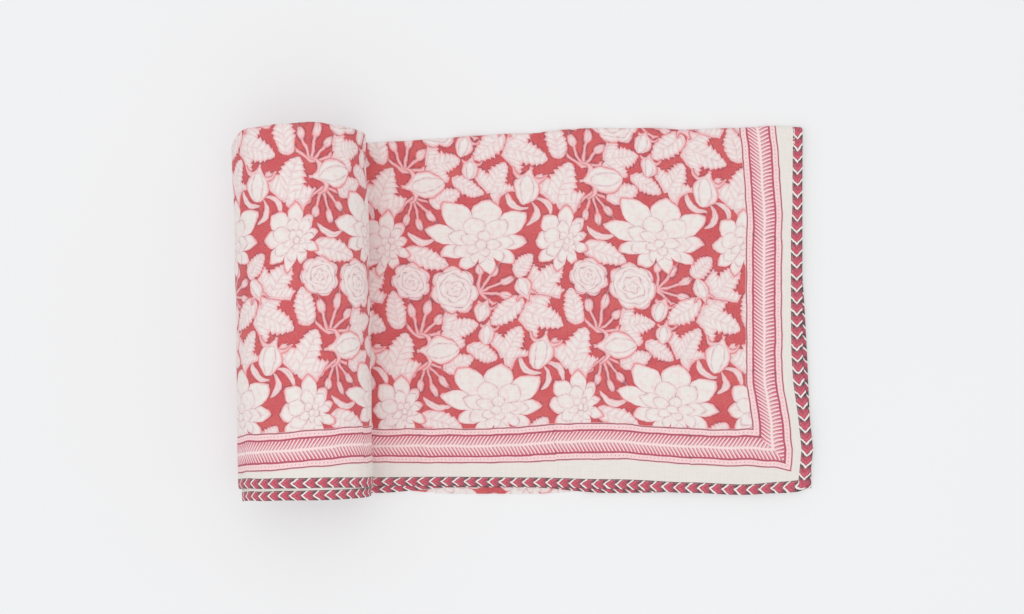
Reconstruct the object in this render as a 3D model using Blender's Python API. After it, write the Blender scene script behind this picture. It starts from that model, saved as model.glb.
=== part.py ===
"""A block-printed cotton dohar, a light blanket, folded in four along its length and rolled up.

The cloth is folded twice lengthwise into a strip of four layers. From its hidden end the strip is
rolled with the printed face outwards. The last turn comes over the top of the roll, runs down its
right side, creases at the floor and lies flat as a tail. A narrow binding is sewn round the edges.

+X runs from the roll to the end of the tail, +Y from the open edges to the outer fold and +Z up.
The origin is in the middle of the footprint, on the surface that the cloth lies on.
"""
import math

import bmesh
import bpy

MM = 0.001

# The cloth, in metres
SHEET_THICKNESS = 1.45 * MM
LAYER_PITCH = 2.00 * MM
LAYERS = 4
STACK_THICKNESS = (LAYERS - 1) * LAYER_PITCH + SHEET_THICKNESS

# The binding, a strip folded over the raw edge
BINDING_WIDTH = 12.0 * MM
BINDING_THICKNESS = 1.50 * MM
BINDING_NOSE = 0.6 * MM
SEAM_GAP = 0.3 * MM

# The tail and the crease between it and the roll
TAIL_END_X = 0.2915
TAIL_LENGTH = 0.4535
CREASE_RADIUS = 10.0 * MM
CREASE_TURN = math.radians(104)
RISE_LENGTH = 17.5 * MM
LEAN_RADIUS = 120.0 * MM
CREASE_STEPS = 5
LEAN_STEPS = 2
TAIL_STATIONS = (0.030, 0.060, 0.105, 0.160, 0.215, 0.260, 0.310, 0.360, 0.410)

# The roll. Its hidden turns are drawn thicker and fewer, so each stands for more than one real turn.
ROLL_RADIUS = 70.0 * MM
ROLL_CENTRE_HEIGHT = 61.5 * MM
ROLL_SQUASH = 0.92
TURN_PITCH = 8.00 * MM
FINE_TURNS = 1
FINE_STEPS = 24
COARSE_STEPS = 12
HIDDEN_TURN_SCALE = 1.7
CORE_RADIUS = 16.0 * MM
ROLL_SHEAR = 0.020

# Where the edges and folds of the strip lie across it, in millimetres from the middle.
# "along" is the way from the end of the tail, through the crease and round the roll, also in millimetres.
EDGE_COLUMNS = ("along", "edge_1", "edge_2", "mid_fold", "inner_fold", "outer_fold")
EDGE_ROWS = (
    (0, -189.0, -188.0, -186.0, 184.0, 191.5),
    (32, -191.0, -190.0, -188.0, 186.0, 194.0),
    (69, -192.8, -191.5, -190.0, 184.0, 191.8),
    (119, -190.7, -190.0, -188.0, 183.0, 190.4),
    (207, -187.6, -191.0, -188.0, 184.0, 191.8),
    (290, -186.4, -185.0, -192.0, 179.0, 186.2),
    (371, -186.0, -185.0, -192.0, 174.0, 181.0),
    (453, -186.0, -191.0, -186.0, 168.0, 175.7),
    (518, -179.4, -189.3, -183.0, 175.0, 182.0),
    (623, -176.2, -188.2, -182.0, 179.0, 187.2),
    (690, -178.0, -190.5, -182.0, 177.0, 185.0),
    (728, -181.1, -194.0, -184.0, 162.0, 169.7),
    (840, -181.0, -190.0, -184.0, 166.0, 174.0),
    (1200, -183.0, -189.0, -184.0, 170.0, 178.0),
    (2286, -185.0, -188.0, -184.0, 172.0, 180.0),
)

# How far the layers' ends stand out past TAIL_END_X, in millimetres, at places across the strip.
# The lower layers run straight from the first row to the last.
END_COLUMNS = ("across", "top_layer", "lower_layers")
END_ROWS = (
    (-200, 4.0, 8.6),
    (-145, 9.5, 7.0),
    (-75, 1.5, 5.0),
    (200, 0.0, -1.5),
)
END_FADE = 0.150
CORNER_RADIUS = 11.0 * MM


def smooth(t):
    """Eases t from 0 to 1."""
    t = min(1.0, max(0.0, t))
    return t * t * (3 - 2 * t)


def look_up(rows, columns, name, key, ease=smooth):
    """Reads a table between its rows."""
    column = columns.index(name)
    if key <= rows[0][0]:
        return rows[0][column]
    for low, high in zip(rows, rows[1:]):
        if key <= high[0]:
            part = ease((key - low[0]) / (high[0] - low[0]))
            return low[column] + (high[column] - low[column]) * part
    return rows[-1][column]


def edge_at(name, along):
    return look_up(EDGE_ROWS, EDGE_COLUMNS, name, along / MM) * MM


class Station:
    """One cross-section of the strip: where depth 0 lies, and the way from there into the stack.

    The inward way is longer than 1 where the strip is drawn thicker than it is.
    """

    def __init__(self, along, x, z, inward_x, inward_z):
        self.along = along
        self.x = x
        self.z = z
        self.inward_x = inward_x
        self.inward_z = inward_z

    def place(self, depth, y, end_shift=0.0):
        shear = ROLL_SHEAR * smooth(self.along / TAIL_LENGTH)
        x = self.x + self.inward_x * depth - shear * y + end_shift
        return (x, y, self.z + self.inward_z * depth)


def tail_station(along):
    return Station(along, TAIL_END_X - along, STACK_THICKNESS, 0.0, -1.0)


def crease_stations():
    """Turns the strip from the flat tail up the side of the roll, by its middle line."""
    along = TAIL_LENGTH
    x = TAIL_END_X - TAIL_LENGTH
    z = STACK_THICKNESS / 2
    heading = math.pi
    lean = CREASE_TURN - math.pi / 2
    steps = [(CREASE_RADIUS * CREASE_TURN / CREASE_STEPS, -CREASE_TURN / CREASE_STEPS)] * CREASE_STEPS
    steps += [(RISE_LENGTH, 0.0)]
    steps += [(LEAN_RADIUS * lean / LEAN_STEPS, lean / LEAN_STEPS)] * LEAN_STEPS
    stations = []
    for length, turn in steps:
        x += length * math.cos(heading + turn / 2)
        z += length * math.sin(heading + turn / 2)
        heading += turn
        along += length
        out_x = math.sin(heading)
        out_z = -math.cos(heading)
        half = STACK_THICKNESS / 2
        stations.append(Station(along, x + out_x * half, z + out_z * half, -out_x, -out_z))
    return stations


def squash(angle):
    """The roll's outline against a circle: lower than wide, with a flat spot under it."""
    up = math.sin(angle)
    if up >= -1e-9:
        return 1 / math.hypot(math.cos(angle), up / ROLL_SQUASH)
    first_turn = ROLL_RADIUS - TURN_PITCH * (angle % (2 * math.pi)) / (2 * math.pi)
    return min(1.0, ROLL_CENTRE_HEIGHT / (-up * first_turn))


def roll_stations(start):
    """Winds the strip inwards from the side of the roll to its core."""
    centre_x = start.x - ROLL_RADIUS
    along = start.along
    last = (start.x, start.z)
    stations = []
    angle = 0.0
    radius = ROLL_RADIUS
    while radius > CORE_RADIUS:
        fine = angle < FINE_TURNS * 2 * math.pi - 1e-6
        step = 2 * math.pi / (FINE_STEPS if fine else COARSE_STEPS)
        angle += step
        thicker = 1 + (HIDDEN_TURN_SCALE - 1) * smooth(angle / (2 * math.pi) - FINE_TURNS)
        radius -= TURN_PITCH * thicker * step / (2 * math.pi)
        factor = squash(angle)
        x = centre_x + radius * factor * math.cos(angle)
        z = ROLL_CENTRE_HEIGHT + radius * factor * math.sin(angle)
        along += math.dist((x, z), last)
        last = (x, z)
        inward_x = -factor * thicker * math.cos(angle)
        inward_z = -factor * thicker * math.sin(angle)
        stations.append(Station(along, x, z, inward_x, inward_z))
    return stations


def end_shift(layer, y, along):
    """How far the slanting end of the tail moves a point of a layer along +X."""
    name = "top_layer"
    rows = END_ROWS
    if layer > 0:
        name = "lower_layers"
        rows = (END_ROWS[0], END_ROWS[-1])
    fade = 1 - smooth(along / END_FADE)
    return look_up(rows, END_COLUMNS, name, y / MM, ease=float) * MM * fade


def corner_inset(along):
    """How far the rounded corner draws an edge in, close to the end of the tail."""
    short = max(0.0, CORNER_RADIUS - along)
    return CORNER_RADIUS - math.sqrt(CORNER_RADIUS**2 - short**2)


def layer_pairs(station, layer, face, back, low, high):
    """Pairs of points across the sheet, printed face and back, from low to high."""
    between = [] if layer else [row[0] * MM for row in END_ROWS[1:-1]]
    pairs = []
    for y in (low, *between, high):
        shift = end_shift(layer, y, station.along)
        pairs.append((station.place(face, y, shift), station.place(back, y, shift)))
    return pairs


def fold_pairs(station, layer, side, edge, top, radius, steps):
    """Pairs of points round a fold, outside and inside, from its upper layer to its lower."""
    centre_y = edge - side * radius
    shift = end_shift(layer, centre_y, station.along)
    pairs = []
    for step in range(1, steps + 1):
        angle = math.pi * step / (steps + 1)
        pair = []
        for r in (radius, radius - SHEET_THICKNESS):
            y = centre_y + side * r * math.sin(angle)
            pair.append(station.place(top + radius - r * math.cos(angle), y, shift))
        pairs.append(tuple(pair))
    return pairs


def strip_section(station, edge_inset):
    """The sheet at one station as pairs of points, back and forth from edge 1 to edge 2."""
    along = station.along
    inset = max(edge_inset, corner_inset(along))
    edge_1 = edge_at("edge_1", along) + inset
    edge_2 = edge_at("edge_2", along) + inset
    mid_fold = edge_at("mid_fold", along)
    inner_fold = edge_at("inner_fold", along)
    outer_fold = edge_at("outer_fold", along)
    upper = [layer * LAYER_PITCH for layer in range(LAYERS)]
    under = [depth + SHEET_THICKNESS for depth in upper]
    wide_radius = STACK_THICKNESS / 2
    close_radius = (LAYER_PITCH + SHEET_THICKNESS) / 2
    outer_end = outer_fold - wide_radius
    inner_end = inner_fold - close_radius
    mid_end = mid_fold + close_radius

    top = layer_pairs(station, 0, upper[0], under[0], edge_1, outer_end)
    round_outer = fold_pairs(station, 0, 1, outer_fold, upper[0], wide_radius, 3)
    bottom = layer_pairs(station, 3, under[3], upper[3], mid_end, outer_end)
    round_mid = fold_pairs(station, 3, -1, mid_fold, upper[2], close_radius, 1)
    third = layer_pairs(station, 2, upper[2], under[2], mid_end, inner_end)
    round_inner = fold_pairs(station, 1, 1, inner_fold, upper[1], close_radius, 1)
    round_inner = [(inside, outside) for outside, inside in round_inner]
    second = layer_pairs(station, 1, under[1], upper[1], edge_2, inner_end)
    return top + round_outer + bottom[::-1] + round_mid + third + round_inner + second[::-1]


def binding_section(station, layer, edge_name):
    """The outline of the folded binding strip along one long edge."""
    outer = edge_at(edge_name, station.along)
    seam = outer + BINDING_WIDTH
    depth = layer * LAYER_PITCH
    back = depth + BINDING_THICKNESS
    outline = (
        ((outer, depth + 0.3 * BINDING_THICKNESS), (outer, depth + 0.7 * BINDING_THICKNESS)),
        ((outer + BINDING_NOSE, depth), (outer + BINDING_NOSE, back)),
        ((seam, depth), (seam, back)),
    )
    pairs = []
    for pair in outline:
        shifts = [end_shift(layer, y, station.along) for y, _ in pair]
        pairs.append(tuple(station.place(d, y, x) for (y, d), x in zip(pair, shifts)))
    return pairs


def loft(name, sections, collection, material):
    """Joins sections of paired points into one solid sheet and closes its two ends."""
    mesh = bmesh.new()
    rings = []
    for pairs in sections:
        outline = [face for face, _ in pairs] + [back for _, back in reversed(pairs)]
        rings.append([mesh.verts.new(point) for point in outline])
    count = len(rings[0])
    for near, far in zip(rings, rings[1:]):
        for i in range(count):
            j = (i + 1) % count
            mesh.faces.new((near[i], near[j], far[j], far[i]))
    for ring in (rings[0], rings[-1]):
        for i in range(count // 2 - 1):
            mesh.faces.new((ring[i], ring[i + 1], ring[count - 2 - i], ring[count - 1 - i]))
    bmesh.ops.recalc_face_normals(mesh, faces=mesh.faces)
    if mesh.calc_volume(signed=True) < 0:
        bmesh.ops.reverse_faces(mesh, faces=mesh.faces)
    data = bpy.data.meshes.new(name)
    mesh.to_mesh(data)
    mesh.free()
    data.shade_smooth()
    data.set_sharp_from_angle(angle=math.radians(35))
    data.materials.append(material)
    part = bpy.data.objects.new(name, data)
    collection.objects.link(part)
    return part


def make_material(name, colour, roughness):
    material = bpy.data.materials.new(name)
    material.use_nodes = True
    shader = material.node_tree.nodes["Principled BSDF"]
    shader.inputs["Base Color"].default_value = (*colour, 1.0)
    shader.inputs["Roughness"].default_value = roughness
    shader.inputs["Metallic"].default_value = 0.0
    return material


def station_at(path, along):
    """The station at a given way along the strip, between two of the path's own."""
    for first, second in zip(path, path[1:]):
        if along <= second.along:
            break
    part = (along - first.along) / (second.along - first.along)
    values = []
    for name in ("along", "x", "z", "inward_x", "inward_z"):
        low = getattr(first, name)
        values.append(low + (getattr(second, name) - low) * part)
    return Station(*values)


def stretch(path, low, high):
    """The part of the path from one way along it to another."""
    inner = [station for station in path if low + MM < station.along < high - MM]
    return [station_at(path, low)] + inner + [station_at(path, high)]


def build():
    for old in list(bpy.data.objects):
        bpy.data.objects.remove(old, do_unlink=True)
    collection = bpy.data.collections.new("dohar")
    bpy.context.scene.collection.children.link(collection)
    cotton = make_material("printed_mulmul_cotton", (0.74, 0.36, 0.35), 0.9)
    crimson = make_material("printed_cotton_binding", (0.42, 0.05, 0.09), 0.85)

    tail = [tail_station(along) for along in (0.0, *TAIL_STATIONS, TAIL_LENGTH)]
    rise = crease_stations()
    path = tail + rise + roll_stations(rise[-1])
    inset = BINDING_WIDTH + SEAM_GAP
    core_end = path[-1].along
    cloth_path = stretch(path, inset, core_end - inset)

    cloth = [strip_section(station, inset) for station in cloth_path]
    loft("cloth", cloth, collection, cotton)

    for name, layer, edge in (
        ("binding_upper_edge", 0, "edge_1"),
        ("binding_lower_edge", 1, "edge_2"),
    ):
        sections = [binding_section(station, layer, edge) for station in cloth_path]
        loft(name, sections, collection, crimson)

    end_path = [tail_station(BINDING_WIDTH * part) for part in (0.0, 0.15, 0.45, 1.0)]
    loft("binding_tail_end", [strip_section(s, 0.0) for s in end_path], collection, crimson)
    core_path = stretch(path, core_end - BINDING_WIDTH, core_end)
    loft("binding_core_end", [strip_section(s, 0.0) for s in core_path], collection, crimson)


build()
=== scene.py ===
"""A block-printed cotton dohar, folded in four along its length and rolled up, with a flat tail.

The cloth is worked out in its own flat measure: along, from the tail's end to the core, and across, from
edge 1 through the folds to edge 2. One function takes any point of the flat cloth to its place on the
rolled blanket.
"""
import math
from functools import partial

import bpy
import numpy as np
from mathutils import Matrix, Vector


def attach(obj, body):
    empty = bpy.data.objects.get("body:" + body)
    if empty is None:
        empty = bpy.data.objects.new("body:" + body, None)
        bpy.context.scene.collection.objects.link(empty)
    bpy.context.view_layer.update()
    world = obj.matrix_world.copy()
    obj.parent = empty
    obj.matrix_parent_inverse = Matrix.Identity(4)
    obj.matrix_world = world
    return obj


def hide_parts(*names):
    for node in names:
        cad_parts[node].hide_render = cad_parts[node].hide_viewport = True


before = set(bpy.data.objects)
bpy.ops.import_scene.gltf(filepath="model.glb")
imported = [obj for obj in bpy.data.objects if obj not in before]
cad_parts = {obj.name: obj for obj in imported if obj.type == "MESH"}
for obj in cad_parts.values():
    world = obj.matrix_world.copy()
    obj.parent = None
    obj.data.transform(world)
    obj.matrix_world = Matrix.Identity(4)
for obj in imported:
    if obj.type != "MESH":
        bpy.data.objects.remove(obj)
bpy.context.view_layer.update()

MM = 0.001
TURN = 2 * math.pi

# The cloth, laid flat
FLAT_WIDTH = 1.520
FLAT_LENGTH = 2.280

# The stack of four layers, the same as in the part
LAYER_PITCH = 2.00 * MM
LAYER_MIDDLE = 0.725 * MM  # how deep the first layer's middle lies
STACK_THICKNESS = 7.45 * MM
HALF_SHEET = 0.60 * MM
CLOSE_RADIUS = LAYER_PITCH / 2  # the mid and inner folds
WIDE_RADIUS = STACK_THICKNESS / 2 - LAYER_MIDDLE  # the outer fold, round the other layers
OFF_FLOOR = 0.05 * MM

# The binding, a strip folded over the raw edge, and how thick it stands on its printed side
BINDING_WIDTH = 12.0 * MM
BINDING_MIDDLE = BINDING_WIDTH / 2
SEAM_GAP = 0.3 * MM
UPPER_THICKNESS = 1.10 * MM
LOWER_THICKNESS = 0.85 * MM
PRESSED_THICKNESS = 0.70 * MM  # under other layers, from PRESSED_EASE before the outer fold
PRESSED_EASE = 60.0 * MM
PRESSED_MARGIN = 10.0 * MM
CORE_THICKNESS = 0.72 * MM
BACK_THICKNESS = 1.0 * MM  # on the cloth's back
PUCKER_PITCH = 4.1 * MM
PUCKER = 0.08  # how far it rises between stitches, as a share of its thickness

# The tail and the crease between it and the roll
TAIL_END_X = 0.2915
TAIL_LENGTH = 0.4535
CREASE_RADIUS = 10.0 * MM
CREASE_TURN = math.radians(104)
RISE_LENGTH = 17.5 * MM
LEAN_RADIUS = 120.0 * MM

# The roll
ROLL_RADIUS = 70.0 * MM
ROLL_CENTRE_HEIGHT = 61.5 * MM
ROLL_TOP = 0.124
ROLL_SQUASH = 0.92
TURN_PITCH = 8.00 * MM
ROLL_SHEAR = 0.020  # how far the roll lies askew, as a share of the place across
SETTLE_FROM_X = -0.140  # the sag of the roll starts here and is full after SETTLE_FADE
SETTLE_FADE = 0.030
PATH_SPARE = 0.020  # the path runs on so far past the cloth's end

# Ways along the cloth where its pieces part, or where their grids grow finer or coarser
NEAR_CREASE = 0.4400
TAIL_PART = 0.4510  # the printed top layer of the tail ends here, just before the crease
CREASE_MIDDLE = 0.4560
PAST_CREASE = 0.4735
RISE_END = 0.5300
OUTER_TURN_END = 0.9850  # from here on the top layer lies under the outer turn
EDGES_HIDDEN = 1.0000  # the edges' bindings lie out of sight from here on
UNDER_LAP = 15.0 * MM  # how far the top layer's piece runs on under the outer fold

# Where the edges and folds lie across the strip, in millimetres from its middle: the way along, edge 1,
# edge 2, the mid fold, the inner fold and the outer fold
EDGE_ROWS = np.array((
    (0, -189.0, -188.0, -186.0, 184.0, 191.5),
    (32, -191.0, -190.0, -188.0, 186.0, 194.0),
    (69, -192.8, -191.5, -190.0, 184.0, 191.8),
    (119, -190.7, -190.0, -188.0, 183.0, 190.4),
    (207, -186.4, -191.0, -188.0, 184.0, 191.8),
    (290, -184.2, -185.0, -192.0, 179.0, 186.2),
    (371, -183.2, -185.0, -192.0, 174.0, 181.0),
    (453, -183.2, -191.0, -186.0, 168.0, 175.7),
    (518, -179.4, -189.3, -183.0, 175.0, 182.0),
    (600, -176.4, -188.6, -182.0, 180.5, 188.5),
    (632, -176.8, -189.0, -182.0, 178.5, 186.6),
    (676, -178.6, -191.0, -182.0, 176.0, 184.0),
    (720, -181.8, -194.4, -184.0, 161.5, 169.2),
    (840, -181.0, -190.0, -184.0, 166.0, 174.0),
    (1200, -183.0, -189.0, -184.0, 170.0, 178.0),
    (2286, -185.0, -188.0, -184.0, 172.0, 180.0),
))

# How far the layers' ends stand out past TAIL_END_X, in millimetres: the place across the strip, the top
# layer's end and the lower layers' ends. It dies away over END_FADE.
END_ROWS = np.array((
    (-200, 4.0, 8.6), (-145, 9.5, 7.2), (-110, 5.7, 6.2), (-75, 0.6, 4.6), (-45, -1.4, 3.4), (0, -1.8, 1.0),
    (40, -1.8, -1.6), (200, -1.6, -3.0),
))
END_FADE = 0.150

# How wide the binding lies, in millimetres: on edges 1 and 2 by the way along, and on the tail's end by the
# way across
EDGE_WIDTHS = np.array((
    (0, 12.0), (13, 12.0), (60, 10.8), (150, 10.8), (207, 9.9), (290, 9.4), (371, 9.2), (453, 8.8),
    (500, 10.0), (2286, 10.0),
))
END_WIDTHS = np.array(((0, 12.0), (265, 12.0), (305, 10.5), (1440, 10.5), (1500, 12.0), (1520, 12.0)))
END_START = 8.5 * MM  # the sheet starts here, under the tail end's binding


def smooth(t):
    """Eases t from 0 to 1."""
    t = np.clip(t, 0.0, 1.0)
    return t * t * (3 - 2 * t)


def read(rows, at, column=1):
    """A value from a table in millimetres, between its rows with a soft start and stop at each row."""
    keys, values, at = rows[:, 0], rows[:, column], np.asarray(at) / MM
    i = np.clip(np.searchsorted(keys, at, side="right") - 1, 0, len(keys) - 2)
    part = smooth((at - keys[i]) / (keys[i + 1] - keys[i]))
    return (values[i] + (values[i + 1] - values[i]) * part) * MM


def squash(angle):
    """The roll's outline against a circle: lower than wide, with a flat spot under it."""
    up = math.sin(angle)
    if up >= -1e-9:
        return 1 / math.hypot(math.cos(angle), up / ROLL_SQUASH)
    first_turn = ROLL_RADIUS - TURN_PITCH * (angle % TURN) / TURN
    return min(1.0, ROLL_CENTRE_HEIGHT / (-up * first_turn))


def wind_path():
    """The way of the stack's outer face, as rows of along, x, z, inward x and inward z."""
    half = STACK_THICKNESS / 2
    rows = [(way, TAIL_END_X - way, STACK_THICKNESS, 0.0, -1.0) for way in (0.0, TAIL_LENGTH)]
    along, x, z, heading = TAIL_LENGTH, TAIL_END_X - TAIL_LENGTH, half, math.pi
    lean = CREASE_TURN - math.pi / 2
    for length, turn, count in (
        (CREASE_RADIUS * CREASE_TURN, -CREASE_TURN, 60),
        (RISE_LENGTH, 0.0, 10),
        (LEAN_RADIUS * lean, lean, 40),
    ):
        for _ in range(count):
            x += length / count * math.cos(heading + turn / count / 2)
            z += length / count * math.sin(heading + turn / count / 2)
            heading += turn / count
            along += length / count
            out_x, out_z = math.sin(heading), -math.cos(heading)
            rows.append((along, x + out_x * half, z + out_z * half, -out_x, -out_z))
    centre_x, last = rows[-1][1] - ROLL_RADIUS, rows[-1][1:3]
    angle, step = 0.0, math.radians(1)
    while along < FLAT_LENGTH + PATH_SPARE:
        angle += step
        radius = ROLL_RADIUS - TURN_PITCH * angle / TURN
        out_x, out_z = squash(angle) * math.cos(angle), squash(angle) * math.sin(angle)
        x, z = centre_x + radius * out_x, ROLL_CENTRE_HEIGHT + radius * out_z
        along += math.dist((x, z), last)
        last = (x, z)
        rows.append((along, x, z, -out_x, -out_z))
    return np.array(rows)


PATH = wind_path()


def marks(along):
    """Where each layer and fold ends across the flat cloth, at a way along it, and where the strip's edges
    and folds lie."""
    edge_1, edge_2, mid, inner, outer = (read(EDGE_ROWS, along, column) for column in range(1, 6))
    outer_y = outer - STACK_THICKNESS / 2
    mid_y = mid + CLOSE_RADIUS + HALF_SHEET
    inner_y = inner - CLOSE_RADIUS - HALF_SHEET
    wide, close = (math.pi * radius + 0 * edge_1 for radius in (WIDE_RADIUS, CLOSE_RADIUS))
    lengths = (outer_y - edge_1, wide, outer_y - mid_y, close, inner_y - mid_y, close, inner_y - edge_2)
    ends = np.cumsum(np.array(lengths), axis=0)
    free = ends[1]
    stretched = free + (ends[2:] - free) * (FLAT_WIDTH - free) / (ends[-1] - free)
    return np.concatenate([ends[:2], stretched]), (edge_1, edge_2, mid_y, inner_y, outer_y)


def place(along, across, height):
    """Where a point of the flat cloth lies, that far above the middle of the sheet on its printed side."""
    along, across, height = np.broadcast_arrays(np.asarray(along, float), across, height)
    ends, (edge_1, edge_2, mid_y, inner_y, outer_y) = marks(along)
    starts = np.concatenate([0 * ends[:1], ends[:-1]])
    which = sum((across > end).astype(int) for end in ends[:-1])
    start, end = (np.take_along_axis(limits, which[None], 0)[0] for limits in (starts, ends))
    part = (across - start) / (end - start)
    angle = math.pi * np.clip(part, 0, 1)
    sin, cos, flat = np.sin(angle), np.cos(angle), 0 * along
    deep = [LAYER_MIDDLE + layer * LAYER_PITCH + flat for layer in range(4)]
    choices = (
        (edge_1 + part * (outer_y - edge_1), deep[0], flat, flat - 1),
        (outer_y + WIDE_RADIUS * sin, STACK_THICKNESS / 2 - WIDE_RADIUS * cos, sin, -cos),
        (outer_y + part * (mid_y - outer_y), deep[3], flat, flat + 1),
        (mid_y - CLOSE_RADIUS * sin, deep[2] + CLOSE_RADIUS * (1 + cos), -sin, cos),
        (mid_y + part * (inner_y - mid_y), deep[2], flat, flat - 1),
        (inner_y + CLOSE_RADIUS * sin, deep[1] + CLOSE_RADIUS * (1 + cos), -sin, -cos),
        (inner_y + part * (edge_2 - inner_y), deep[1], flat, flat + 1),
    )
    y, depth, normal_y, normal_depth = (np.choose(which, column) for column in zip(*choices))
    y, depth = y + normal_y * height, depth + normal_depth * height

    x, z, inward_x, inward_z = (np.interp(along, PATH[:, 0], PATH[:, k]) for k in range(1, 5))
    top, lower = (np.interp(y / MM, END_ROWS[:, 0], END_ROWS[:, k]) for k in (1, 2))
    below = np.where(which == 0, 0.0, np.where(which == 1, smooth(part), 1.0))
    end_shift = (top + (lower - top) * below) * MM * (1 - smooth(along / END_FADE))
    x = x + inward_x * depth - ROLL_SHEAR * smooth(along / TAIL_LENGTH) * y + end_shift
    z = z + inward_z * depth
    return settle(np.stack([x, y, z], axis=-1))


def settle(points):
    """The roll as it sags and leans by hand: one soft warp of the space, a millimetre or so in waves of some
    centimetres, so that no two layers meet."""
    x, y, z = points[..., 0], points[..., 1], points[..., 2]
    share = smooth((SETTLE_FROM_X - x) / SETTLE_FADE) * z / ROLL_TOP * MM
    x = x + share * (0.9 * np.sin(y / 0.041 + 0.6) + 0.5 * np.sin(y / 0.017 + 2.0))
    z = z + share * (0.9 * np.sin(y / 0.052 + 1.9) - 0.5 * np.sin((x + 0.21) / 0.02))
    return np.stack([x, y, np.maximum(z, OFF_FLOOR)], axis=-1)


def waves(along, across, length, seed, count=7):
    """Soft unevenness about 1 high: a sum of plane waves of about that length, the same each run."""
    draw = np.random.default_rng(seed)
    total = 0.0
    for _ in range(count):
        way = draw.uniform(0, TURN)
        rate = TURN / (length * draw.uniform(0.75, 1.5))
        onward = along * math.cos(way) + across * math.sin(way)
        total = total + np.sin(rate * onward + draw.uniform(0, TURN))
    return total / math.sqrt(count / 2)


# The top layer's relief, heights in millimetres and lengths in metres
SWELLS = ((0.45, 0.095, 3), (0.16, 0.034, 4))  # height, length, seed
GATHER_HEIGHT, GATHER_PITCH, GATHER_REACH = 0.30, 0.0115, 0.016
CRUMPLE_REACH = 0.022
MEAN_HEIGHT, LOWEST, HIGHEST = 0.35, -0.2, 3.0
FOLD_FADE = 0.006  # it dies away over this, up to the end of the outer fold
TURN_FADE = 0.060  # the upper binding's dies away over this, before it runs in under the outer turn
TURN_MARGIN = 0.020


def relief(along, across):
    """How far the top layer stands off its place: swells, ripples gathered by the seams and, near the crease,
    crumples."""
    from_seam = np.minimum(across, along) - BINDING_WIDTH
    beside = np.where(across < along, along, across)
    swell = sum(height * waves(along, across, length, seed) for height, length, seed in SWELLS)
    ripple = np.sin(TURN * beside / GATHER_PITCH + 2.0 * waves(beside, 0, 0.060, 5))
    gather = GATHER_HEIGHT * np.exp(-np.abs(from_seam) / GATHER_REACH) * ripple
    near_crease = np.exp(-(((along - CREASE_MIDDLE) / CRUMPLE_REACH) ** 2))
    crumple = 0.45 * waves(0 * along, across, 0.020, 6) + 0.3 * waves(along, across, 0.012, 7)
    return np.clip(MEAN_HEIGHT + swell + gather + near_crease * crumple, LOWEST, HIGHEST) * MM


def top_relief(along, across, at=None):
    """The top layer's relief, dying away round the outer fold, which lies where it does at that way along."""
    ends, _ = marks(along if at is None else at)
    return relief(along, across) * smooth((ends[1] - across) / FOLD_FADE)


def upper_relief(along, across):
    """The upper edge's binding follows the top layer's relief until it runs in under the outer turn."""
    return relief(along, across) * smooth((OUTER_TURN_END - TURN_MARGIN - along) / TURN_FADE)


def still(along, across):
    """The layers underneath lie smooth."""
    return 0 * along


BORDER_AT = 25.0  # the border's outer line, in millimetres from the edge
BORDER_HALF = 19.15

# How far the border's print runs out of line with the sewn edge, in millimetres: towards the tail's end by
# the way across, and towards edge 1 by the way along
END_SLIP = np.array((
    (22, 4.8), (52, 3.8), (72, 4.2), (118, 2.3), (155, 3.5), (250, 3.3), (290, 4.4), (330, 2.0), (355, 0.0),
    (384, -3.0), (760, 0.0), (1520, 0.0),
))
EDGE_SLIP = np.array((
    (0, 4.6), (13, 4.2), (40, -1.6), (68, -5.2), (98, -4.4), (147, -5.3), (185, -6.2), (222, -5.6),
    (250, -3.6), (300, -0.8), (350, 1.2), (423, 0.6), (460, 0.6), (500, -1.8), (563, 0.9), (600, 4.4),
    (650, 7.4), (715, 9.2), (800, 7.5), (1100, 2.0), (2286, 0.0),
))
# How much narrower the border lies on the sheet than on the block, by the way along
BORDER_NARROWER = np.array((
    (0, 0.0), (45, -1.5), (96, 0.0), (171, 1.3), (222, 0.2), (272, 0.0), (322, 1.6), (373, 2.3), (448, 3.2),
    (560, 1.3), (760, 1.3), (1100, 0.0), (2286, 0.0),
))


# Meshes


def grid_shell(face, back):
    """The points and faces of a thin closed shell between two grids: printed face, back and rim."""
    rows, columns = face.shape[:2]
    near = np.arange(rows * columns).reshape(rows, columns)
    far = near + rows * columns
    sides = (
        (near[:-1, :-1], near[:-1, 1:], near[1:, 1:], near[1:, :-1]),
        (far[:-1, :-1], far[1:, :-1], far[1:, 1:], far[:-1, 1:]),
        (near[0, :-1], far[0, :-1], far[0, 1:], near[0, 1:]),
        (near[-1, 1:], far[-1, 1:], far[-1, :-1], near[-1, :-1]),
        (near[1:, 0], far[1:, 0], far[:-1, 0], near[:-1, 0]),
        (near[:-1, -1], far[:-1, -1], far[1:, -1], near[1:, -1]),
    )
    faces = [np.stack([corner.ravel() for corner in side], axis=1) for side in sides]
    return np.concatenate([face.reshape(-1, 3), back.reshape(-1, 3)]), np.concatenate(faces)


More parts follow.
